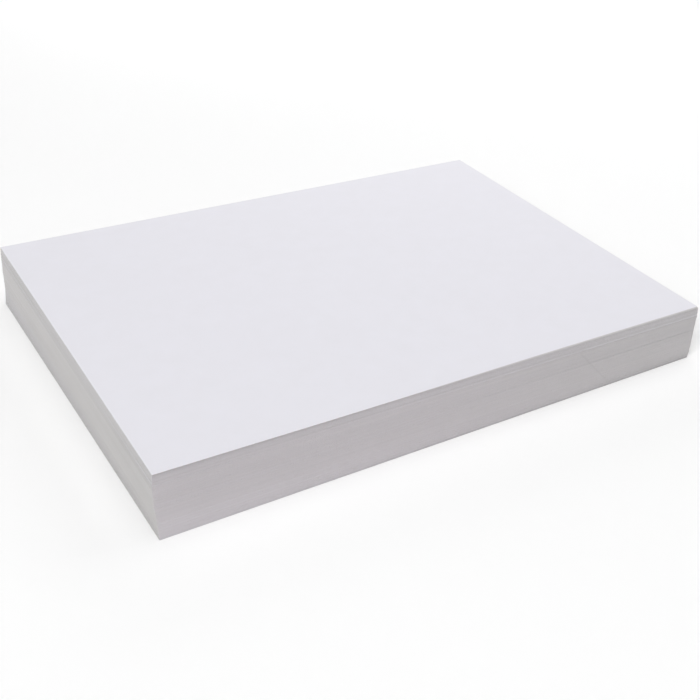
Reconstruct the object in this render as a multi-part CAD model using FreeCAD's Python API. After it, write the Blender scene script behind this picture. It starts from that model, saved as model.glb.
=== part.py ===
import FreeCAD, Part

import math
import os
import random
from collections import namedtuple

# An unwrapped pack of loose white card, squared up by hand.  Millimetres and degrees.
# X runs along the sheets, Y across them and Z up.  The origin is the middle of the
# ground that the pack covers, on the surface it stands on.

# One sheet of card
SHEET_LENGTH = 297.0
SHEET_WIDTH = 210.0
SHEET_THICKNESS = 0.295

# Air in the pack
LEAST_AIR = 0.001        # between two sheets, where they lie closest
LEFT_END_AIR = 0.72      # that much more of it at the left end, spread over all sheets
BACK_EDGE_AIR = 0.86     # and that much more along the back edge

# How far a single sheet strays from its neighbours, at most
STRAY_SLIDE = 0.035
STRAY_TURN = 0.006
STRAY_SEED = 11

# The bottom sheet against the pack's axis
BOTTOM_SLIDE_X = -0.52
BOTTOM_SLIDE_Y = -1.25
BOTTOM_TURN = 0.36

# The pack was put together from handfuls, lowest first.  slide_x, slide_y and turn say
# where the uppermost sheet of a handful lies, and those below it lead there evenly.
# right_gap and back_gap are the wedge of air under the handful: how much more of it
# there is at the right end than at the left, and at the back than at the front.
Handful = namedtuple("Handful", "sheets slide_x slide_y turn right_gap back_gap")
HANDFULS = (
    Handful(sheets=10, slide_x=-0.20, slide_y=-0.85, turn=0.26, right_gap=0.0, back_gap=0.0),
    Handful(sheets=15, slide_x=0.14, slide_y=-0.32, turn=0.07, right_gap=0.0, back_gap=0.05),
    Handful(sheets=32, slide_x=-0.08, slide_y=0.22, turn=-0.16, right_gap=0.0, back_gap=0.0),
    Handful(sheets=26, slide_x=0.10, slide_y=0.72, turn=-0.26, right_gap=0.15, back_gap=0.0),
    Handful(sheets=1, slide_x=0.10, slide_y=0.72, turn=-0.31, right_gap=-0.08, back_gap=0.0),
    Handful(sheets=2, slide_x=0.16, slide_y=0.77, turn=-0.31, right_gap=0.0, back_gap=0.0),
    Handful(sheets=1, slide_x=0.19, slide_y=0.85, turn=-0.25, right_gap=0.0, back_gap=0.0),
    Handful(sheets=12, slide_x=0.62, slide_y=1.44, turn=-0.24, right_gap=0.0, back_gap=0.0),
    Handful(sheets=1, slide_x=0.50, slide_y=1.26, turn=-0.24, right_gap=0.0, back_gap=0.0),
)

# Sheets that share one file
SHEETS_PER_FILE = 2

# Where one sheet lies: its slide and turn from the pack's axis, how high its underside
# crosses that axis, and how far it rises from its left to its right and front to back.
Lie = namedtuple("Lie", "slide_x slide_y turn height right_rise back_rise")


def count_sheets():
    return sum(handful.sheets for handful in HANDFULS)


def reach(side, other_side, slide, turn):
    """How far from the pack's axis a sheet may come, along one of its sides."""
    most_turn = math.radians(abs(turn) + STRAY_TURN)
    most_slide = abs(slide) + STRAY_SLIDE
    return side / 2 + other_side / 2 * math.sin(most_turn) + most_slide


def lay_on(under, slide_x, slide_y, turn, right_wedge, back_wedge):
    """Lay a sheet on another, over a wedge of air that closes at one corner."""
    reach_x = reach(SHEET_LENGTH, SHEET_WIDTH, slide_x, turn)
    reach_y = reach(SHEET_WIDTH, SHEET_LENGTH, slide_y, turn)
    air = LEAST_AIR
    air += abs(right_wedge) * reach_x / SHEET_LENGTH
    air += abs(back_wedge) * reach_y / SHEET_WIDTH
    return Lie(slide_x, slide_y, turn, under.height + SHEET_THICKNESS + air,
               under.right_rise + right_wedge, under.back_rise + back_wedge)


def between(start, end, share):
    return start + (end - start) * share


def lay_handful(handful, below, first_step):
    """Lay a handful on the sheet below, leading evenly to where its top sheet lies."""
    lies = []
    under = below
    for step in range(first_step, handful.sheets + 1):
        share = step / handful.sheets
        right_wedge = -LEFT_END_AIR / count_sheets()
        back_wedge = BACK_EDGE_AIR / count_sheets()
        if step == 1:
            right_wedge += handful.right_gap
            back_wedge += handful.back_gap
        under = lay_on(
            under,
            between(below.slide_x, handful.slide_x, share),
            between(below.slide_y, handful.slide_y, share),
            between(below.turn, handful.turn, share),
            right_wedge,
            back_wedge,
        )
        lies.append(under)
    return lies


def lay_pack():
    """Where every sheet lies, lowest first.  The bottom one is flat on the surface."""
    lies = [Lie(BOTTOM_SLIDE_X, BOTTOM_SLIDE_Y, BOTTOM_TURN, 0.0, 0.0, 0.0)]
    for handful in HANDFULS:
        first_step = 2 if len(lies) == 1 else 1
        lies += lay_handful(handful, lies[-1], first_step)
    return lies


def stray(lie, chance):
    """Push a sheet a little out of line, in its own plane."""
    return lie._replace(
        slide_x=lie.slide_x + chance.uniform(-STRAY_SLIDE, STRAY_SLIDE),
        slide_y=lie.slide_y + chance.uniform(-STRAY_SLIDE, STRAY_SLIDE),
        turn=lie.turn + chance.uniform(-STRAY_TURN, STRAY_TURN),
    )


def place(lie):
    """The placement of a sheet that was made level on the pack's axis."""
    height = lie.height
    height += lie.right_rise * lie.slide_x / SHEET_LENGTH
    height += lie.back_rise * lie.slide_y / SHEET_WIDTH
    pitch = -math.degrees(math.atan(lie.right_rise / SHEET_LENGTH))
    roll = math.degrees(math.atan(lie.back_rise / SHEET_WIDTH))
    tilt = FreeCAD.Rotation(0.0, pitch, roll)
    turn = FreeCAD.Rotation(lie.turn, 0.0, 0.0)
    middle = FreeCAD.Vector(lie.slide_x, lie.slide_y, height)
    return FreeCAD.Placement(middle, tilt.multiply(turn))


def make_sheet(lie):
    corner = FreeCAD.Vector(-SHEET_LENGTH / 2, -SHEET_WIDTH / 2, 0.0)
    sheet = Part.makeBox(SHEET_LENGTH, SHEET_WIDTH, SHEET_THICKNESS, corner)
    sheet.Placement = place(lie)
    return sheet


def centre_on_ground(sheets):
    """Move the pack so that the ground it covers has its middle at the origin."""
    box = Part.makeCompound(sheets).BoundBox
    middle = FreeCAD.Vector(box.Center.x, box.Center.y, box.ZMin)
    for sheet in sheets:
        sheet.translate(-middle)


def make_pack():
    """Every sheet of the pack, lowest first."""
    chance = random.Random(STRAY_SEED)
    sheets = [make_sheet(stray(lie, chance)) for lie in lay_pack()]
    centre_on_ground(sheets)
    return sheets


def save(sheets):
    """Write the sheets in small groups, each named after its first and last sheet."""
    os.makedirs("parts", exist_ok=True)
    for start in range(0, len(sheets), SHEETS_PER_FILE):
        group = sheets[start:start + SHEETS_PER_FILE]
        name = f"sheets_{start + 1:03d}_{start + len(group):03d}"
        Part.makeCompound(group).exportStep(f"parts/{name}.step")


save(make_pack())
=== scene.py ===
"""A squared-up pack of loose white card, lying on a pale table under soft studio light.

Every sheet is a closed body of its own.  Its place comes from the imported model, and here it
gets guillotined edges, worn corners and the uneven air that a hand-squared pack keeps.
Lengths are in metres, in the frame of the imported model: X along the sheets, Y across, Z up.
"""

import logging
import math
import random
from dataclasses import dataclass, field
from enum import Enum
from typing import Any

import bmesh
import bpy
import numpy as np
from mathutils import Matrix, Vector, noise


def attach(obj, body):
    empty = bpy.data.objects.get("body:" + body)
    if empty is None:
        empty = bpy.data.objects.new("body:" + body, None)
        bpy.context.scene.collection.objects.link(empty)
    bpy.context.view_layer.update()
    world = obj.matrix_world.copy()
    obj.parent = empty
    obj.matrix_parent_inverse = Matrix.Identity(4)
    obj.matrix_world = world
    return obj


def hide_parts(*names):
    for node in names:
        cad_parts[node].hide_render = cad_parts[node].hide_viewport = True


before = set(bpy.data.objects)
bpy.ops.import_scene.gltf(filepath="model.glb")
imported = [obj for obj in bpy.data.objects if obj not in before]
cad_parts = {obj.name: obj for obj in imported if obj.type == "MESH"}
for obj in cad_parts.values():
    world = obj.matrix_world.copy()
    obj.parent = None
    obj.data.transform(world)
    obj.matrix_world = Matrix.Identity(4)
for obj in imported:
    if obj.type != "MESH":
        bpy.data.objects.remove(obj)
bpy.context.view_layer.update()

LOG = logging.getLogger("pack")
MM = 0.001
BODY = "root"

# Sockets of the Mix node when it mixes colours
MIX_FACTOR, MIX_A, MIX_B, MIX_RESULT = 0, 6, 7, 2

# A face points up or down where its normal's height is over this
FLAT_NORMAL = 0.99

# Two faces meet at a rim where their normals' heights differ by more than this
RIM_DIFFERENCE = 0.5


def linear(hex_colour: str) -> tuple[float, float, float, float]:
    """Turn an sRGB hex colour into the linear one that shaders take.

    Args:
        hex_colour: Six hex digits.

    Returns:
        Linear red, green and blue, and an alpha of one.
    """
    channels = [int(hex_colour[i:i + 2], 16) / 255.0 for i in (0, 2, 4)]
    r, g, b = [c / 12.92 if c <= 0.04045 else ((c + 0.055) / 1.055) ** 2.4 for c in channels]
    return (r, g, b, 1.0)


def rise(
    at: float | np.ndarray,
    starts: float,
    full: float,
) -> float | np.ndarray:
    """Rise softly from 0 to 1 between two places.

    Args:
        at: Where to give the rise: one place, or many.
        starts: The place where it is 0.
        full: The place where it is 1, after the start or before it.

    Returns:
        The rise there.
    """
    ramp = np.clip((at - starts) / (full - starts), 0.0, 1.0)
    return ramp * ramp * (3.0 - 2.0 * ramp)


def add_node(
    tree: bpy.types.NodeTree,
    kind: str,
    settings: dict[str, Any] | None = None,
    inputs: dict[str | int, Any] | None = None,
) -> bpy.types.Node:
    """Add one node with its settings, values and links.

    Args:
        tree: The node tree it goes in.
        kind: The node's type, without its 'ShaderNode'.
        settings: The node's own settings, by name.
        inputs: Values, or the output sockets to link from, by input name or number.

    Returns:
        The new node.
    """
    node = tree.nodes.new("ShaderNode" + kind)
    for name, value in (settings or {}).items():
        setattr(node, name, value)
    for key, value in (inputs or {}).items():
        if isinstance(value, bpy.types.NodeSocket):
            tree.links.new(value, node.inputs[key])
        else:
            node.inputs[key].default_value = value
    return node


def new_material(name: str) -> tuple[bpy.types.Material, bpy.types.NodeTree]:
    """Make a material with an empty node tree.

    Args:
        name: What the real material is.

    Returns:
        The material and its node tree.
    """
    material = bpy.data.materials.new(name)
    material.use_nodes = True
    material.node_tree.nodes.clear()
    return material, material.node_tree


def finish_material(tree: bpy.types.NodeTree, shader: bpy.types.Node) -> None:
    """Link a shader to the material's output.

    Args:
        tree: The material's node tree.
        shader: The shader node.
    """
    add_node(tree, "OutputMaterial", inputs={"Surface": shader.outputs["BSDF"]})


class Slot(Enum):
    """The material slot that a face of a sheet takes."""

    FACE = 0
    LONG_EDGE = 1
    SHORT_EDGE = 2


class Mark(Enum):
    """Numbers that a sheet carries for its materials."""

    SHEET = "card_sheet_number"
    # The edge tones hold painted shade and painted light as well as the sheets' own tone
    LONG_TONE_AND_SHADE = "card_long_edge_tone"
    SHORT_TONE_AND_SHADE = "card_short_edge_tone"


class Strip(Enum):
    """Where a sheet's cut edges lie on the flat map, counted upwards."""

    FRONT = 0
    BACK = 1
    RIGHT = 2
    LEFT = 3


@dataclass(frozen=True)
class FlatMap:
    """A piece laid flat: its sheets' faces in rows above, and their cut edges in strips below.

    A cut edge is hundreds of times thinner than a face is wide, so its strip is stretched
    in height: each edge then keeps its own tone when its colours are laid on the map.
    """

    name: str = "OFBake"
    edge_share: float = 0.25
    face_width: float = 0.5
    margin: float = 0.004

    def spot(
        self,
        slot: Slot,
        normal: Vector,
        share: Vector,
        level: int,
        levels: int,
    ) -> tuple[float, float]:
        """Find where a point of a sheet lies on the map.

        Args:
            slot: The slot of the face that the point is on.
            normal: That face's normal.
            share: How far along, across and up the sheet the point is, from 0 to 1.
            level: Which of the piece's sheets it is, from 0 at the bottom.
            levels: How many sheets the piece has.

        Returns:
            The place on the map, from 0 to 1 both ways.
        """
        if slot is Slot.FACE:
            ahead, turned, up = share.x, normal.z < 0.0, share.y
            left, width = self.face_width * turned, self.face_width
            height = (1.0 - self.edge_share) / levels
            foot = self.edge_share + height * level
        else:
            height = self.edge_share / (len(Strip) * levels)
            left, width, up = 0.0, 1.0, share.z
            if slot is Slot.LONG_EDGE:
                ahead, turned = share.x, normal.y > 0.0
                strip = Strip.BACK if turned else Strip.FRONT
            else:
                ahead, turned = share.y, normal.x < 0.0
                strip = Strip.LEFT if turned else Strip.RIGHT
            foot = height * (len(Strip) * level + strip.value)
        if turned:
            ahead = 1.0 - ahead
        return (left + self.margin + ahead * (width - 2.0 * self.margin),
                foot + self.margin + up * (height - 2.0 * self.margin))


FLAT_MAP = FlatMap()


class Corner(Enum):
    """An upright corner of the pack: whether it is on the right, and at the back."""

    FRONT_LEFT = (False, False)
    FRONT_RIGHT = (True, False)
    BACK_LEFT = (False, True)
    BACK_RIGHT = (True, True)


@dataclass(frozen=True)
class CardFace:
    """Uncoated bleached card, calendered smooth: matt, and faintly blue from its whitener.

    Its fibres lie a little thicker in some places, which gives the eye a soft cloud some
    millimetres across, and the felt leaves a fine tooth.
    """

    name: str = "uncoated_bleached_card"
    colour: str = "EAE9F0"
    cloud_colour: str = "E7E6EC"
    cloud_mm: float = 9.0
    tooth_mm: float = 0.9  # really about 0.1 mm: coarser here, so that it shows
    tooth_depth_mm: float = 0.004
    roughness: float = 0.80
    roughness_play: float = 0.05
    ior: float = 1.45

    def build(self) -> bpy.types.Material:
        """Build the material and return it."""
        material, tree = new_material(self.name)
        place = add_node(tree, "TexCoord").outputs["Object"]
        cloud = add_node(tree, "TexNoise", inputs={
            "Vector": place, "Scale": 1.0 / (self.cloud_mm * MM), "Detail": 3.0})
        colour = add_node(tree, "Mix", {"data_type": "RGBA"}, {
            MIX_FACTOR: cloud.outputs["Fac"],
            MIX_A: linear(self.cloud_colour), MIX_B: linear(self.colour)})
        tooth = add_node(tree, "TexNoise", inputs={
            "Vector": place, "Scale": 1.0 / (self.tooth_mm * MM), "Detail": 2.0})
        rough = add_node(tree, "MapRange", inputs={
            "Value": tooth.outputs["Fac"],
            "To Min": self.roughness - self.roughness_play,
            "To Max": self.roughness + self.roughness_play})
        bump = add_node(tree, "Bump", inputs={
            "Distance": self.tooth_depth_mm * MM, "Height": tooth.outputs["Fac"]})
        shader = add_node(tree, "BsdfPrincipled", inputs={
            "Base Color": colour.outputs[MIX_RESULT], "IOR": self.ior,
            "Roughness": rough.outputs["Result"], "Normal": bump.outputs["Normal"]})
        finish_material(tree, shader)
        return material


@dataclass(frozen=True)
class KnifeNick:
    """A faint slanting scratch down the right part of the front, over most of the sheets.

    It fades out at both ends, and it goes no further back than the pack's front.
    """

    top_x_mm: float = 68.4
    top_z_mm: float = 25.7
    foot_x_mm: float = 91.5
    foot_z_mm: float = 2.2
    width_mm: float = 0.7
    soft_end_mm: float = 3.0
    ends_at_y_mm: float = -90.0
    full_at_y_mm: float = -100.0

    @property
    def slope(self) -> float:
        """How far it moves along X for each millimetre down."""
        return (self.foot_x_mm - self.top_x_mm) / (self.top_z_mm - self.foot_z_mm)


@dataclass(frozen=True)
class CardEdge:
    """Guillotined card edge: torn fibre, duller and a touch warmer than the face, the dullness
    partly painted shade of the fine gaps between the sheets.

    Each sheet's edge has a tone of its own, with lines of painted shade and painted light in it,
    which wanders along it, and the blade leaves a fine roughness.  Towards the pack's right end
    the colour turns to a second one.
    """

    name: str
    colour: str
    right_colour: str
    tone: Mark
    turn_from_mm: float = -45.0
    turn_to_mm: float = 135.0
    wander_mm: float = 45.0
    wanders_apart: float = 3.7
    wander_share: float = 0.012
    fibre_mm: float = 0.6  # really about 0.05 mm: coarser here, so that it shows
    fibre_share: float = 0.012
    fibre_depth_mm: float = 0.01
    roughness: float = 0.92
    ior: float = 1.45
    nick: KnifeNick = KnifeNick()
    nick_share: float = 0.05
    nick_depth_mm: float = 0.02

    def build(self) -> bpy.types.Material:
        """Build the material and return it."""
        material, tree = new_material(self.name)
        place = add_node(tree, "TexCoord").outputs["Object"]
        axes = add_node(tree, "SeparateXYZ", inputs={"Vector": place}).outputs
        number = self.read_mark(tree, Mark.SHEET)
        tone = self.read_mark(tree, self.tone)
        wander = self.draw_wander(tree, axes, number)
        fibre = add_node(tree, "TexNoise", inputs={
            "Vector": place, "Scale": 1.0 / (self.fibre_mm * MM), "Detail": 2.0}).outputs["Fac"]
        nick = self.draw_nick(tree, axes)
        shade = self.play(tree, wander, self.wander_share, tone)
        shade = self.play(tree, fibre, self.fibre_share, shade)
        shade = add_node(tree, "Math", {"operation": "MULTIPLY_ADD"}, {
            0: nick, 1: -self.nick_share, 2: shade}).outputs[0]
        colour = add_node(tree, "VectorMath", {"operation": "SCALE"}, {
            0: self.draw_plain(tree, axes), "Scale": shade})
        dent = add_node(tree, "Math", {"operation": "MULTIPLY_ADD"}, {
            0: nick, 1: -self.nick_depth_mm / self.fibre_depth_mm, 2: fibre})
        bump = add_node(tree, "Bump", inputs={
            "Distance": self.fibre_depth_mm * MM, "Height": dent.outputs[0]})
        shader = add_node(tree, "BsdfPrincipled", inputs={
            "Base Color": colour.outputs[0], "IOR": self.ior,
            "Roughness": self.roughness, "Normal": bump.outputs["Normal"]})
        finish_material(tree, shader)
        return material

    def read_mark(self, tree: bpy.types.NodeTree, mark: Mark) -> bpy.types.NodeSocket:
        """Read one of a sheet's own numbers.

        Args:
            tree: The material's node tree.
            mark: Which number.

        Returns:
            The socket that gives it.
        """
        return add_node(tree, "Attribute", {"attribute_name": mark.value}).outputs["Fac"]

    def draw_plain(
        self,
        tree: bpy.types.NodeTree,
        axes: bpy.types.bpy_prop_collection,
    ) -> bpy.types.NodeSocket:
        """Draw the plain colour, which turns to the second one towards the right.

        Args:
            tree: The material's node tree.
            axes: The place's X, Y and Z sockets.

        Returns:
            The socket that gives the colour.
        """
        turn = add_node(tree, "MapRange", {"interpolation_type": "SMOOTHSTEP"}, {
            "Value": axes["X"],
            "From Min": self.turn_from_mm * MM, "From Max": self.turn_to_mm * MM})
        return add_node(tree, "Mix", {"data_type": "RGBA"}, {
            MIX_FACTOR: turn.outputs["Result"],
            MIX_A: linear(self.colour), MIX_B: linear(self.right_colour),
        }).outputs[MIX_RESULT]

    def draw_wander(
        self,
        tree: bpy.types.NodeTree,
        axes: bpy.types.bpy_prop_collection,
        number: bpy.types.NodeSocket,
    ) -> bpy.types.NodeSocket:
        """Draw a tone that wanders along each sheet, and differs from sheet to sheet.

        Args:
            tree: The material's node tree.
            axes: The place's X, Y and Z sockets.
            number: The sheet's number.

        Returns:
            The socket that gives it, from 0 to 1.
        """
        row = add_node(tree, "Math", {"operation": "MULTIPLY"}, {
            0: number, 1: self.wanders_apart * self.wander_mm * MM})
        place = add_node(tree, "CombineXYZ", inputs={
            "X": axes["X"], "Y": axes["Y"], "Z": row.outputs[0]})
        return add_node(tree, "TexNoise", inputs={
            "Vector": place.outputs["Vector"], "Scale": 1.0 / (self.wander_mm * MM),
            "Detail": 3.0}).outputs["Fac"]

    def play(
        self,
        tree: bpy.types.NodeTree,
        pattern: bpy.types.NodeSocket,
        share: float,
        shade: bpy.types.NodeSocket,
    ) -> bpy.types.NodeSocket:
        """Lay a pattern over a shade, lighter and darker by up to its share each way.

        Args:
            tree: The material's node tree.
            pattern: The pattern, from 0 to 1.
            share: How much the shade plays.
            shade: The shade so far, where 1 is the plain colour.

        Returns:
            The socket that gives the new shade.
        """
        gain = add_node(tree, "MapRange", {"clamp": False}, {
            "Value": pattern, "To Min": 1.0 - share, "To Max": 1.0 + share})
        return add_node(tree, "Math", {"operation": "MULTIPLY"}, {
            0: gain.outputs["Result"], 1: shade}).outputs[0]

    def draw_nick(
        self,
        tree: bpy.types.NodeTree,
        axes: bpy.types.bpy_prop_collection,
    ) -> bpy.types.NodeSocket:
        """Draw the scratch.

        Args:
            tree: The material's node tree.
            axes: The place's X, Y and Z sockets.

        Returns:
            The socket that gives it, 1 in the scratch and 0 elsewhere.
        """
        nick = self.nick
        half = nick.width_mm * MM / 2.0
        soft = nick.soft_end_mm * MM
        lean = add_node(tree, "Math", {"operation": "MULTIPLY_ADD"}, {
            0: axes["Z"], 1: nick.slope, 2: axes["X"]}).outputs[0]
        centre = (nick.top_x_mm + nick.slope * nick.top_z_mm) * MM
        off = add_node(tree, "Math", {"operation": "SUBTRACT"}, {0: lean, 1: centre})
        off = add_node(tree, "Math", {"operation": "ABSOLUTE"}, {0: off.outputs[0]})
        steps = (
            (off.outputs[0], 2.0 * half, half),
            (axes["Z"], nick.top_z_mm * MM, nick.top_z_mm * MM - soft),
            (axes["Z"], nick.foot_z_mm * MM, nick.foot_z_mm * MM + soft),
            (axes["Y"], nick.ends_at_y_mm * MM, nick.full_at_y_mm * MM),
        )
        inside = None
        for value, nought, one in steps:
            share = add_node(tree, "MapRange", {"interpolation_type": "SMOOTHSTEP"}, {
                "Value": value, "From Min": nought, "From Max": one}).outputs["Result"]
            if inside is None:
                inside = share
            else:
                inside = add_node(tree, "Math", {"operation": "MULTIPLY"}, {
                    0: inside, 1: share}).outputs[0]
        return inside


@dataclass(frozen=True)
class TableTop:
    """Matt white laminate of the table and its backdrop, pale and even."""

    name: str = "matt_white_laminate"
    colour: str = "FEFEFE"
    roughness: float = 0.7

    def build(self) -> bpy.types.Material:
        """Build the material and return it."""
        material, tree = new_material(self.name)
        shader = add_node(tree, "BsdfDiffuse", inputs={
            "Color": linear(self.colour), "Roughness": self.roughness})
        finish_material(tree, shader)
        return material


@dataclass(frozen=True)
class SheetPlace:
    """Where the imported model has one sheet: its lower front left corner, and its sides."""

    number: int
    corner: Vector
    along: Vector
    across: Vector
    up: Vector

    @classmethod
    def from_box(cls, number: int, points: list[Vector]) -> "SheetPlace":
        """Read a sheet's place from the eight corners of its box.

        Args:
            number: The sheet's number in the pack, from 1 at the bottom.
            points: The corners.

        Returns:
            The place.
        """
        middle = sum(points, Vector()) / len(points)
        posts = {}
        for point in sorted(points, key=lambda p: p.z):
            posts.setdefault((point.x > middle.x, point.y > middle.y), []).append(point)
        corner, top = posts[False, False]
        return cls(number, corner, posts[True, False][0] - corner,
                   posts[False, True][0] - corner, top - corner)

    @property
    def size(self) -> Vector:
        """The sheet's length, width and thickness."""
        return Vector((self.along.length, self.across.length, self.up.length))

    @property
    def matrix(self) -> Matrix:
        """From the sheet's own frame, with its origin at the corner, to the pack's."""
        sides = [side.normalized() for side in (self.along, self.across, self.up)]
        return Matrix.Translation(self.corner) @ Matrix(sides).transposed().to_4x4()

    def underside(self, x: np.ndarray, y: np.ndarray) -> np.ndarray:
        """How high the sheet's underside is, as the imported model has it.

        Args:
            x: Places along the pack.
            y: Places across it.

        Returns:
            The heights there.
        """
        normal = self.along.cross(self.across)
        slip = normal.x * (x - self.corner.x) + normal.y * (y - self.corner.y)
        return self.corner.z - slip / normal.z


@dataclass
class UnevenAir:
    """The air between the sheets, which a real pack never shares out evenly.

    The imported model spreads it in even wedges.  Here some gaps take more of it in some
    places and less in others, and the top and bottom sheets stay where they are.
    """

    places: list[SheetPlace]
    columns: int = 22
    rows: int = 16
    short_of_last: float = 0.001
    reach_x: float = 151 * MM
    reach_y: float = 108 * MM
    ripple_mm: float = 140.0
    ripple_power: float = 1.4
    gaps_apart: float = 4.31
    row_power: float = 0.6
    least_mm: float = 0.0004
    handful_gap_mm: float = 0.04
    seed: int = 5
    lifts: np.ndarray = field(init=False)

    def __post_init__(self) -> None:
        """Share the air out, except in the wide wedges between two handfuls."""
        x, y = np.meshgrid(np.linspace(-self.reach_x, self.reach_x, self.columns),
                           np.linspace(-self.reach_y, self.reach_y, self.rows),
                           indexing="ij")
        heights = np.array([place.underside(x, y) for place in self.places])
        thick = np.array([place.up.z for place in self.places])[:, None, None]
        gaps = heights[1:] - heights[:-1] - thick[:-1]
        shared = (np.ptp(gaps, axis=(1, 2)) < self.handful_gap_mm * MM)[:, None, None]
        chance = random.Random(self.seed)
        weights = [self.weigh(number, x, y, chance) for number in range(len(gaps))]
        weights = np.array(weights) * shared
        least = self.least_mm * MM
        air = np.where(shared, gaps, 0.0).sum(0)
        spare = air - least * shared.sum()
        new = np.where(shared, least + spare * weights / weights.sum(0), gaps)
        self.lifts = np.concatenate([np.zeros((1,) + x.shape), np.cumsum(new - gaps, 0)])

    def weigh(
        self,
        number: int,
        x: np.ndarray,
        y: np.ndarray,
        chance: random.Random,
    ) -> np.ndarray:
        """Say how much of the air one gap asks for.

        Args:
            number: The gap's number, from 0 at the bottom.
            x: Places along the pack.
            y: Places across it.
            chance: The air's own chance.

        Returns:
            The gap's weight at each place.
        """
        row = math.exp(self.row_power * chance.gauss(0.0, 1.0))
        level = number * self.gaps_apart
        ripples = [[noise.noise(Vector((a, b, level)) / (self.ripple_mm * MM))
                    for a, b in zip(xs, ys)] for xs, ys in zip(x, y)]
        return row * np.exp(self.ripple_power * np.array(ripples))

    def steps_to(self, places: np.ndarray, reach: float, count: int) -> np.ndarray:
        """Count how many steps of the grid lie before each place.

        Args:
            places: Places along one axis.
            reach: How far the grid reaches each way.
            count: How many points the grid has on that axis.

        Returns:
            The steps, from 0 to just under the last.
        """
        last = count - 1
        return np.clip((places / reach + 1) / 2 * last, 0, last - self.short_of_last)

    def lift(self, number: int, x: np.ndarray, y: np.ndarray) -> np.ndarray:
        """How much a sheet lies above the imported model's place for it.

        Args:
            number: The sheet's number, from 1.
            x: Places along the pack.
            y: Places across it.

        Returns:
            The lifts there.
        """
        table = self.lifts[number - 1]
        u = self.steps_to(x, self.reach_x, self.columns)
        v = self.steps_to(y, self.reach_y, self.rows)
        i, j = u.astype(int), v.astype(int)
        s, t = u - i, v - j
        near = table[i, j] * (1 - s) + table[i + 1, j] * s
        far = table[i, j + 1] * (1 - s) + table[i + 1, j + 1] * s
        return near * (1 - t) + far * t


@dataclass(frozen=True)
class PaintedShadeLine:
    """A line of painted shade, or a lighter one of painted light, on the pack's sides: the edges
    of a few sheets.

    It starts at one share of the side's length and is full at the other, counted from the
    pack's left end, or from its front.  Above and below it fades over a number of sheets.
    """

    first: int
    last: int
    darker: float
    starts: float = -1.0
    full: float = 0.0
    fade: int = 0

    def at(self, number: int, share: np.ndarray) -> np.ndarray:
        """How much painted shade the line lays on a sheet, or painted light where it is less
        than nought.

        Args:
            number: The sheet's number, from 1.
            share: Places along the side, from 0 to 1.

        Returns:
            The loss of tone there.
        """
        beyond = max(self.first - number, number - self.last, 0)
        level = max(0.0, 1.0 - beyond / (self.fade + 1))
        return self.darker * level * rise(share, self.starts, self.full)


@dataclass(frozen=True)
class EdgeTonesAndShade:
    """The tone of every sheet's cut edge on two opposite sides of the pack.

    It wanders a little from sheet to sheet at random, and lines of painted shade and painted
    light stand out.
    """

    mark: Mark
    axis: int
    length_mm: float
    lines: tuple[PaintedShadeLine, ...]
    seed: int = 31
    sheets_per_seed: int = 1000
    row_play: float = 0.009
    drift: float = 0.03
    drift_mm: float = 110.0
    sheets_alike: float = 2.2

    def at(self, number: int, points: np.ndarray) -> np.ndarray:
        """Give the tone of a sheet's edge, with its painted shade and painted light.

        Args:
            number: The sheet's number, from 1.
            points: Places in the pack.

        Returns:
            The tone at each place, where 1 is the plain edge.
        """
        chance = random.Random(self.seed * self.sheets_per_seed + number)
        row = chance.gauss(0.0, self.row_play)
        level = Vector((0.0, 0.0, number / self.sheets_alike))
        spread = np.array([noise.noise(Vector((*point[:2], 0.0)) / (self.drift_mm * MM) + level)
                           for point in points])
        share = points[:, self.axis] / (self.length_mm * MM) + 0.5
        tone = 1.0 + row + self.drift * spread
        # Each line lays painted shade on the edge, or painted light where it is lighter
        for line in self.lines:
            tone = tone - line.at(number, share)
        return tone


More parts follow.
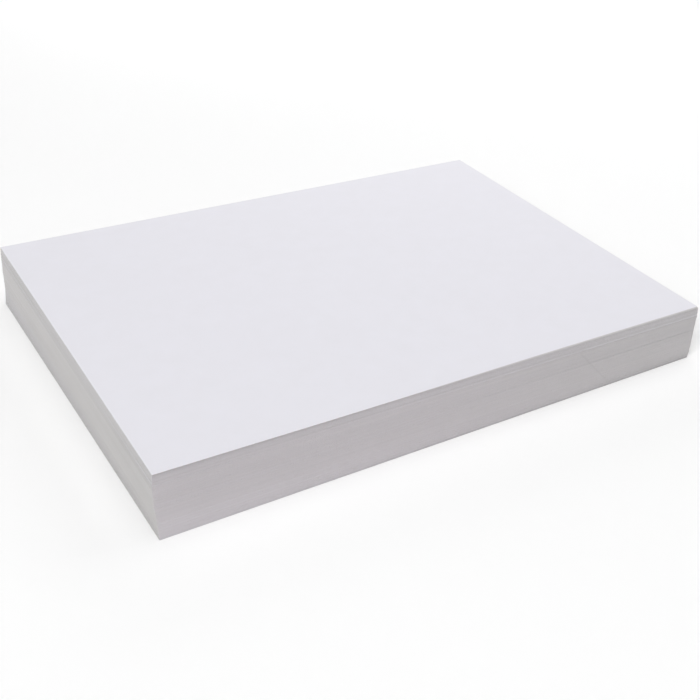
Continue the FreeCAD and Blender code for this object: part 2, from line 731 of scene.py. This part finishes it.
LONG_EDGES = EdgeTonesAndShade(Mark.LONG_TONE_AND_SHADE, axis=0, length_mm=300.0, lines=(
    # Broad painted shade: darker to the right, and the upper sheets to the left as well
    PaintedShadeLine(1, 100, 0.03, 0.40, 1.00),
    PaintedShadeLine(75, 100, 0.02, 0.70, 0.00, fade=45),
    # The lower third: paler with painted light, most of all on the left, and a little painted
    # shade in the middle
    PaintedShadeLine(3, 30, -0.012, 0.60, 0.90, fade=14),
    PaintedShadeLine(5, 24, -0.035, 1.20, 0.00, fade=10),
    PaintedShadeLine(12, 22, 0.02, 0.15, 0.35, fade=3),
    PaintedShadeLine(12, 22, -0.02, 0.55, 0.75, fade=3),
    # The foot: painted shade, a dark contact line where the pack stands on the table
    PaintedShadeLine(1, 2, 0.10),
    PaintedShadeLine(1, 3, 0.05, 0.00, 0.50, fade=1),
    PaintedShadeLine(1, 3, 0.04, 0.15, 0.55),
    PaintedShadeLine(1, 6, 0.045, 0.50, 0.95, fade=4),
    # The middle: lines of painted shade, the strongest in the gap between two handfuls
    PaintedShadeLine(48, 48, 0.018, 0.32, 0.12),
    PaintedShadeLine(50, 52, 0.02, 0.48, 0.68, fade=1),
    PaintedShadeLine(52, 52, 0.018, 0.30, 0.10),
    PaintedShadeLine(55, 55, 0.014, 0.36, 0.16),
    PaintedShadeLine(57, 58, 0.09, 0.40, 0.85),
    # Fine lines below the top handful: painted highlights on a few sheets that stand out, and
    # painted shade beneath them
    PaintedShadeLine(66, 75, 0.022, 0.42, 0.65, fade=3),
    PaintedShadeLine(74, 75, 0.02, 0.20, 0.40),
    PaintedShadeLine(78, 79, -0.03, 0.95, 0.50),
    PaintedShadeLine(81, 82, 0.03, 0.20, 0.50),
    PaintedShadeLine(83, 84, 0.02, 0.75, 1.00),
    PaintedShadeLine(84, 85, 0.04, 0.20, 0.85),
    PaintedShadeLine(85, 86, -0.04, 0.10, 0.40),
    PaintedShadeLine(85, 86, 0.08, 0.28, 1.00),
    PaintedShadeLine(86, 87, 0.045, 0.30, 0.85),
    # The top handful: painted shade under the top sheets, and a little painted light
    PaintedShadeLine(88, 90, -0.02, 0.60, 0.80),
    PaintedShadeLine(89, 90, 0.04, 0.00, 0.50),
    PaintedShadeLine(90, 96, 0.02, 0.12, 0.00, fade=3),
    PaintedShadeLine(90, 100, 0.045, 1.40, 0.50, fade=3),
    PaintedShadeLine(91, 91, 0.05, 0.40, 0.70),
    PaintedShadeLine(91, 92, 0.06, 0.45, 0.95),
    PaintedShadeLine(95, 96, 0.03, 0.30, 0.80),
    PaintedShadeLine(97, 98, 0.05),
    PaintedShadeLine(97, 98, 0.03, 1.00, 0.00),
    PaintedShadeLine(97, 98, 0.025, 0.60, 0.85),
))
SHORT_EDGES = EdgeTonesAndShade(Mark.SHORT_TONE_AND_SHADE, axis=1, length_mm=215.0, lines=(
    # The foot: painted shade, a dark contact line where the pack stands on the table
    PaintedShadeLine(1, 2, 0.08),
    PaintedShadeLine(1, 8, 0.07, fade=20),
    PaintedShadeLine(4, 9, 0.06, fade=2),
    # The middle, darker at the front and paler at the back
    PaintedShadeLine(28, 48, 0.04, 0.25, 0.00, fade=8),
    PaintedShadeLine(48, 68, -0.035, 0.30, 1.00, fade=8),
    # The upper third: painted shade under the overhanging top sheets, with a little painted
    # light at the top
    PaintedShadeLine(70, 96, 0.05, 0.55, 0.00, fade=25),
    PaintedShadeLine(81, 89, 0.05, fade=9),
    PaintedShadeLine(83, 87, 0.05, 0.35, 0.00, fade=3),
    PaintedShadeLine(90, 100, 0.04, 0.15, 0.00, fade=4),
    PaintedShadeLine(98, 100, -0.02, 0.20, 1.00),
))


@dataclass(frozen=True)
class RolledRim:
    """The front rim of the topmost sheets: sharp on the left, and rolled over on the right."""

    radius_mm: float = 1.0
    starts: float = 0.25
    full: float = 0.72
    reach_mm: float = 1.8

    def set_back(self, depth_mm: float, share: float, behind_mm: float) -> float:
        """How far the rim moves a point of a sheet back.

        Args:
            depth_mm: How far below the pack's top the point lies.
            share: How far along the sheet it lies, from 0 to 1.
            behind_mm: How far behind the sheet's front edge it lies.

        Returns:
            The move, in millimetres.
        """
        above = max(0.0, self.radius_mm - depth_mm)
        bow = self.radius_mm - math.sqrt(self.radius_mm ** 2 - above ** 2)
        near = max(0.0, 1.0 - behind_mm / self.reach_mm)
        return bow * rise(share, self.starts, self.full) * near


@dataclass
class Sheet:
    """One sheet of card: a thin slab with cut edges and slightly worn corners.

    It knows how much card lies above it in the pack, and which of its piece's sheets it is.
    """

    place: SheetPlace
    corner_wear: dict[Corner, float]
    card_above: float
    level: int
    levels: int
    rim: RolledRim = RolledRim()
    edge_softness: float = 0.02 * MM
    corner_steps: int = 3
    edge_steps: int = 2
    columns: int = 20
    rows: int = 14
    cut_tolerance: float = 1e-9

    def build(self, mesh: bmesh.types.BMesh, air: UnevenAir) -> None:
        """Add the sheet to a mesh.

        Args:
            mesh: The mesh, which may hold other sheets.
            air: The pack's air, which lifts and bends the sheet.
        """
        sheet = bmesh.new()
        size = self.place.size
        bmesh.ops.create_cube(sheet, size=1.0, matrix=Matrix.Diagonal((*size, 1.0))
                              @ Matrix.Translation((0.5, 0.5, 0.5)))
        self.wear_corners(sheet)
        self.soften_edges(sheet)
        self.mark_faces(sheet)
        self.lay_flat(sheet)
        self.cut_grid(sheet)
        self.roll_rim(sheet)
        bmesh.ops.transform(sheet, matrix=self.place.matrix, verts=sheet.verts)
        self.bend(sheet, air)
        self.append_to(mesh, sheet)

    def wear_corners(self, sheet: bmesh.types.BMesh) -> None:
        """Round each upright corner by its own wear.

        Args:
            sheet: The slab, in its own frame.
        """
        size = self.place.size
        for corner, wear in self.corner_wear.items():
            right, back = corner.value
            posts = [edge for edge in sheet.edges
                     if abs(edge.verts[0].co.z - edge.verts[1].co.z) > size.z / 2
                     and (edge.verts[0].co.x > size.x / 2) == right
                     and (edge.verts[0].co.y > size.y / 2) == back]
            bmesh.ops.bevel(sheet, geom=posts[:1], offset=wear, offset_type="OFFSET",
                            segments=self.corner_steps, profile=0.5, affect="EDGES",
                            material=-1)

    def soften_edges(self, sheet: bmesh.types.BMesh) -> None:
        """Take the sharpness off the rims of both faces.

        Args:
            sheet: The slab, in its own frame.
        """
        sheet.normal_update()
        rims = []
        for edge in sheet.edges:
            one, other = [abs(face.normal.z) for face in edge.link_faces]
            if abs(one - other) > RIM_DIFFERENCE:
                rims.append(edge)
        bmesh.ops.bevel(sheet, geom=rims, offset=self.edge_softness, offset_type="OFFSET",
                        segments=self.edge_steps, profile=0.5, affect="EDGES", material=-1)

    def mark_faces(self, sheet: bmesh.types.BMesh) -> None:
        """Give each face its material slot.

        Args:
            sheet: The slab, in its own frame.
        """
        sheet.normal_update()
        for face in sheet.faces:
            x, y, z = [abs(part) for part in face.normal]
            slot = Slot.LONG_EDGE if y >= x else Slot.SHORT_EDGE
            if z > FLAT_NORMAL:
                slot = Slot.FACE
            face.material_index = slot.value
            face.smooth = slot is not Slot.FACE

    def lay_flat(self, sheet: bmesh.types.BMesh) -> None:
        """Lay the slab out on its piece's flat map.

        Args:
            sheet: The slab, in its own frame.
        """
        layer = sheet.loops.layers.uv.new(FLAT_MAP.name)
        size = self.place.size
        for face in sheet.faces:
            slot = Slot(face.material_index)
            for loop in face.loops:
                share = Vector([at / side for at, side in zip(loop.vert.co, size)])
                loop[layer].uv = FLAT_MAP.spot(slot, face.normal, share, self.level, self.levels)

    def cut_grid(self, sheet: bmesh.types.BMesh) -> None:
        """Cut the slab across, both ways, so that it can bend.

        Args:
            sheet: The slab, in its own frame.
        """
        size = self.place.size
        for axis, count in ((0, self.columns), (1, self.rows)):
            for step in range(1, count):
                point = Vector()
                point[axis] = size[axis] * step / count
                normal = Vector()
                normal[axis] = 1.0
                bmesh.ops.bisect_plane(
                    sheet, geom=sheet.verts[:] + sheet.edges[:] + sheet.faces[:],
                    plane_co=point, plane_no=normal, dist=self.cut_tolerance)

    def roll_rim(self, sheet: bmesh.types.BMesh) -> None:
        """Roll the front rim over, where the sheet lies near the pack's top.

        Args:
            sheet: The slab, in its own frame.
        """
        size = self.place.size
        for vert in sheet.verts:
            x, y, z = vert.co
            depth = self.card_above + size.z - z
            vert.co.y += self.rim.set_back(depth / MM, x / size.x, y / MM) * MM

    def bend(self, sheet: bmesh.types.BMesh, air: UnevenAir) -> None:
        """Let the sheet lie on the uneven air.

        Args:
            sheet: The slab, in the pack's frame.
            air: The pack's air.
        """
        points = np.array([vert.co for vert in sheet.verts])
        lifts = air.lift(self.place.number, points[:, 0], points[:, 1])
        for vert, lift in zip(sheet.verts, lifts):
            vert.co.z += float(lift)

    def append_to(self, mesh: bmesh.types.BMesh, sheet: bmesh.types.BMesh) -> None:
        """Move the finished slab into the piece's mesh, with its numbers.

        Args:
            mesh: The piece's mesh.
            sheet: The slab, which is freed.
        """
        before = len(mesh.verts)
        data = bpy.data.meshes.new("loose_sheet")
        sheet.to_mesh(data)
        sheet.free()
        mesh.from_mesh(data)
        bpy.data.meshes.remove(data)
        mesh.verts.ensure_lookup_table()
        fresh = mesh.verts[before:]
        number = self.place.number
        points = np.array([vert.co for vert in fresh])
        marks = {Mark.SHEET: np.full(len(fresh), number)}
        for side in (LONG_EDGES, SHORT_EDGES):
            marks[side.mark] = side.at(number, points)
        for mark, values in marks.items():
            layer = mesh.verts.layers.float[mark.value]
            for vert, value in zip(fresh, values):
                vert[layer] = float(value)


@dataclass(frozen=True)
class Knock:
    """A knock that blunted a corner of the pack, most at one height."""

    corner: Corner
    height_mm: float
    reach_mm: float
    wear_mm: float

    def at(self, height_mm: float) -> float:
        """How much it rounded a sheet's corner.

        Args:
            height_mm: How high the sheet lies.

        Returns:
            The extra radius there, in millimetres.
        """
        share = max(0.0, 1.0 - abs(height_mm - self.height_mm) / self.reach_mm)
        return self.wear_mm * share * share


@dataclass
class CardPack:
    """The whole pack: a hundred sheets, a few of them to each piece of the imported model."""

    seed: int = 23
    merge_distance: float = 1e-7
    corner_wear_mm: float = 0.25
    corner_play_mm: float = 0.15
    knocks: tuple[Knock, ...] = (
        Knock(Corner.FRONT_RIGHT, 0.0, 4.0, 0.9),
        Knock(Corner.FRONT_RIGHT, 31.0, 3.0, 0.7),
        Knock(Corner.BACK_RIGHT, 31.0, 3.0, 0.5),
    )
    pieces: list[bpy.types.Object] = field(default_factory=list)

    def read_places(self) -> dict[str, list[SheetPlace]]:
        """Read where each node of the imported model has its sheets.

        Returns:
            The places of its sheets, lowest first, by node name.
        """
        places = {}
        number = 0
        for name in sorted(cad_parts):
            copy = bmesh.new()
            copy.from_mesh(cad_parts[name].data)
            bmesh.ops.remove_doubles(copy, verts=copy.verts, dist=self.merge_distance)
            boxes = sorted(self.split(copy), key=lambda box: min(p.z for p in box))
            places[name] = []
            for box in boxes:
                number += 1
                places[name].append(SheetPlace.from_box(number, box))
            copy.free()
        return places

    def split(self, mesh: bmesh.types.BMesh) -> list[list[Vector]]:
        """Part a mesh into its loose boxes.

        Args:
            mesh: A merged mesh.

        Returns:
            The corners of each box.
        """
        boxes = []
        seen = set()
        for start in mesh.verts:
            if start in seen:
                continue
            seen.add(start)
            queue = [start]
            for vert in queue:
                fresh = {edge.other_vert(vert) for edge in vert.link_edges} - seen
                seen |= fresh
                queue.extend(sorted(fresh, key=lambda v: v.index))
            boxes.append([vert.co.copy() for vert in queue])
        return boxes

    def wear_of(self, place: SheetPlace, chance: random.Random) -> dict[Corner, float]:
        """Work out how worn a sheet's corners are.

        Args:
            place: The sheet's place.
            chance: The pack's own chance.

        Returns:
            The radius of each corner.
        """
        height = place.corner.z / MM
        wear = {}
        for corner in Corner:
            radius = self.corner_wear_mm + chance.uniform(-1, 1) * self.corner_play_mm
            radius += sum(knock.at(height) for knock in self.knocks if knock.corner is corner)
            wear[corner] = radius * MM
        return wear

    def build(self) -> None:
        """Build every piece of the pack and dress it."""
        chance = random.Random(self.seed)
        places = self.read_places()
        air = UnevenAir([place for group in places.values() for place in group])
        # The edges are darker than the face: partly the cut card's own dullness, partly painted
        # shade of the fine gaps between the sheets
        long_edge = CardEdge("guillotined_long_edge", "D2CDD0", "D2CFD0", Mark.LONG_TONE_AND_SHADE)
        short_edge = CardEdge("guillotined_short_edge", "D2D0CF", "D2D0CF", Mark.SHORT_TONE_AND_SHADE)
        finishes = {
            Slot.FACE: CardFace().build(),
            Slot.LONG_EDGE: long_edge.build(),
            Slot.SHORT_EDGE: short_edge.build(),
        }
        for name, group in places.items():
            mesh = bmesh.new()
            for mark in Mark:
                mesh.verts.layers.float.new(mark.value)
            mesh.loops.layers.uv.new(FLAT_MAP.name)
            for level, place in enumerate(group):
                card_above = (len(air.places) - place.number) * place.size.z
                wear = self.wear_of(place, chance)
                Sheet(place, wear, card_above, level, len(group)).build(mesh, air)
            self.pieces.append(self.finish_piece(name, mesh, finishes))
            LOG.info("%s: %d sheets", self.pieces[-1].name, len(group))

    def finish_piece(
        self,
        node: str,
        mesh: bmesh.types.BMesh,
        finishes: dict[Slot, bpy.types.Material],
    ) -> bpy.types.Object:
        """Make the object that stands for a node, and hand it to the frame.

        Args:
            node: The node's name.
            mesh: The piece's mesh, which is freed.
            finishes: The material of each slot.

        Returns:
            The piece.
        """
        data = bpy.data.meshes.new("card_" + node)
        mesh.to_mesh(data)
        mesh.free()
        for slot in Slot:
            data.materials.append(finishes[slot])
        piece = bpy.data.objects.new("card_" + node, data)
        bpy.context.scene.collection.objects.link(piece)
        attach(piece, BODY)
        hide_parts(node)
        return piece


@dataclass(frozen=True)
class SoftBox:
    """A square soft box that faces the pack."""

    name: str
    place: tuple[float, float, float]
    side: float
    power: float

    def hang(self) -> None:
        """Hang it in the scene."""
        data = bpy.data.lights.new(self.name, "AREA")
        data.shape = "SQUARE"
        data.size = self.side
        data.energy = self.power
        lamp = bpy.data.objects.new(self.name, data)
        lamp.location = self.place
        lamp.rotation_euler = Vector(self.place).to_track_quat("Z", "Y").to_euler()
        lamp.visible_camera = False
        bpy.context.scene.collection.objects.link(lamp)


@dataclass
class Studio:
    """A pale table with a curved backdrop, soft light from above, and the camera."""

    floor_radius: float = 3.0
    cove_radius: float = 1.0
    cove_steps: int = 12
    wall_height: float = 2.5
    turn_steps: int = 64
    merge_distance: float = 1e-6
    sky: float = 0.20
    overhead_strength: float = 0.91
    overhead_angle: float = math.radians(55.0)
    boxes: tuple[SoftBox, ...] = (
        SoftBox("key", (-1.102, -0.636, 1.273), 1.0, 12.2),
        SoftBox("kick", (0.423, 0.732, 0.308), 0.5, 2.2),
        SoftBox("side", (0.636, 0.0, 0.636), 0.5, 1.13),
    )
    camera_place: tuple[float, float, float] = (-0.2596, -0.4108, 0.2949)
    azimuth: float = math.radians(32.82)
    elevation: float = math.radians(32.37)
    roll: float = math.radians(3.42)
    lens_mm: float = 54.9
    sensor_mm: float = 36.0
    nearest: float = 0.01

    def build(self) -> None:
        """Set the whole studio up."""
        self.build_table()
        self.hang_lights()
        self.place_camera()
        bpy.context.scene.view_settings.view_transform = "Standard"

    def build_table(self) -> None:
        """Spin the table and its backdrop as one dish."""
        dish = bmesh.new()
        centre = dish.verts.new((0.0, 0.0, 0.0))
        rim = dish.verts.new((self.floor_radius, 0.0, 0.0))
        profile = [dish.edges.new((centre, rim))]
        last = rim
        for step in range(1, self.cove_steps + 1):
            angle = math.radians(90.0) * step / self.cove_steps
            vert = dish.verts.new((self.floor_radius + self.cove_radius * math.sin(angle), 0.0,
                                   self.cove_radius * (1.0 - math.cos(angle))))
            profile.append(dish.edges.new((last, vert)))
            last = vert
        brim = dish.verts.new((last.co.x, 0.0, self.wall_height))
        profile.append(dish.edges.new((last, brim)))
        bmesh.ops.spin(dish, geom=dish.verts[:] + profile, cent=(0, 0, 0), axis=(0, 0, 1),
                       angle=math.tau, steps=self.turn_steps, use_merge=True)
        bmesh.ops.remove_doubles(dish, verts=dish.verts, dist=self.merge_distance)
        bmesh.ops.recalc_face_normals(dish, faces=dish.faces)
        data = bpy.data.meshes.new("table")
        dish.to_mesh(data)
        dish.free()
        if data.polygons[0].normal.z < 0.0:
            data.flip_normals()
        data.shade_smooth()
        data.materials.append(TableTop().build())
        table = bpy.data.objects.new("table", data)
        bpy.context.scene.collection.objects.link(table)
        LOG.info("table: %d faces", len(data.polygons))

    def hang_lights(self) -> None:
        """Hang a wide overhead light, and set the room's own glow."""
        data = bpy.data.lights.new("overhead", "SUN")
        data.energy = self.overhead_strength
        data.angle = self.overhead_angle
        lamp = bpy.data.objects.new("overhead", data)
        bpy.context.scene.collection.objects.link(lamp)
        for box in self.boxes:
            box.hang()
        world = bpy.data.worlds.new("room")
        world.use_nodes = True
        world.node_tree.nodes.clear()
        glow = add_node(world.node_tree, "Background", inputs={
            "Color": (1.0, 1.0, 1.0, 1.0), "Strength": self.sky})
        add_node(world.node_tree, "OutputWorld", inputs={"Surface": glow.outputs[0]})
        bpy.context.scene.world = world

    def place_camera(self) -> None:
        """Stand the camera at the near left corner, looking down along the pack."""
        data = bpy.data.cameras.new("camera")
        data.lens = self.lens_mm
        data.sensor_width = self.sensor_mm
        data.clip_start = self.nearest
        camera = bpy.data.objects.new("camera", data)
        camera.matrix_world = (
            Matrix.Translation(self.camera_place)
            @ Matrix.Rotation(-self.azimuth, 4, "Z")
            @ Matrix.Rotation(math.pi / 2 - self.elevation, 4, "X")
            @ Matrix.Rotation(self.roll, 4, "Z"))
        bpy.context.scene.collection.objects.link(camera)
        bpy.context.scene.camera = camera


def main() -> None:
    """Build the pack and the studio, and note how many pieces the pack has."""
    logging.basicConfig(level=logging.INFO, format="%(name)s %(message)s")
    pack = CardPack()
    pack.build()
    LOG.info("pack: %d pieces", len(pack.pieces))
    Studio().build()


if __name__ == "__main__":
    main()
